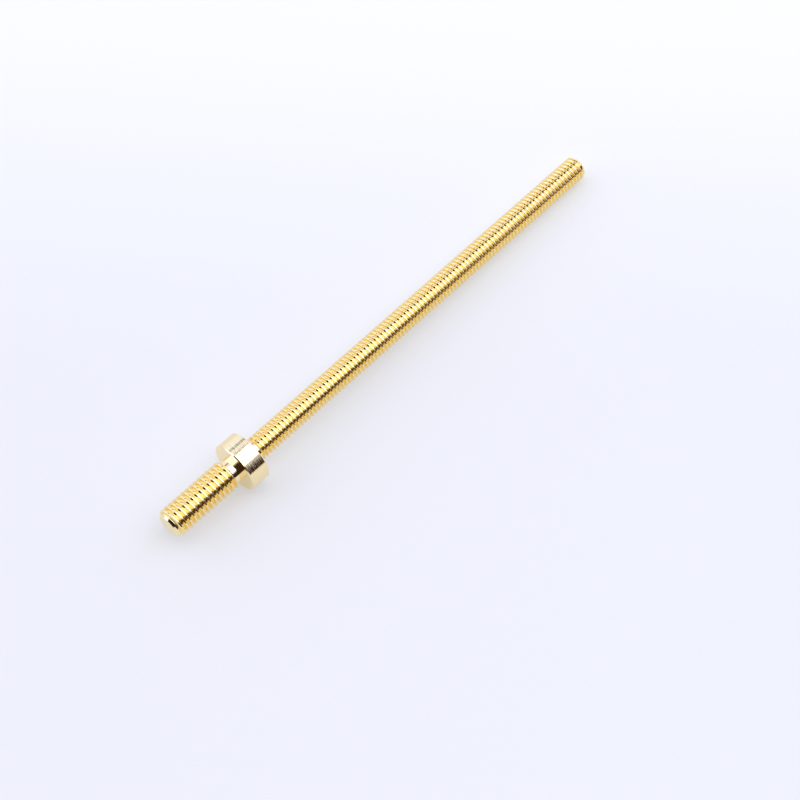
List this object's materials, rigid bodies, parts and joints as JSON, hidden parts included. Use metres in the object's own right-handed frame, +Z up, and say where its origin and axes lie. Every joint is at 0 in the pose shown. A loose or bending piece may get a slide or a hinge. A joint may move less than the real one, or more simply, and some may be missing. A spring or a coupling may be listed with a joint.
{
  "type": "double end stud",
  "caption": "Turned stud with a short thick threaded end, a round collar and a long thin threaded end, in polished gold-plated brass, for joining parts at a set spacing.",
  "frame": {"origin": "on the floor, under the middle of the stud as it lies at rest", "axes": "+X along the stud towards the long tip, +Z up"},
  "size_m": [0.0862, 0.008, 0.0081],
  "materials": {
    "gold_plate": "polished gold plate on turned brass"
  },
  "bodies": {
    "root": {"double_end_stud": "gold_plate"}
  },
  "joints": []
}
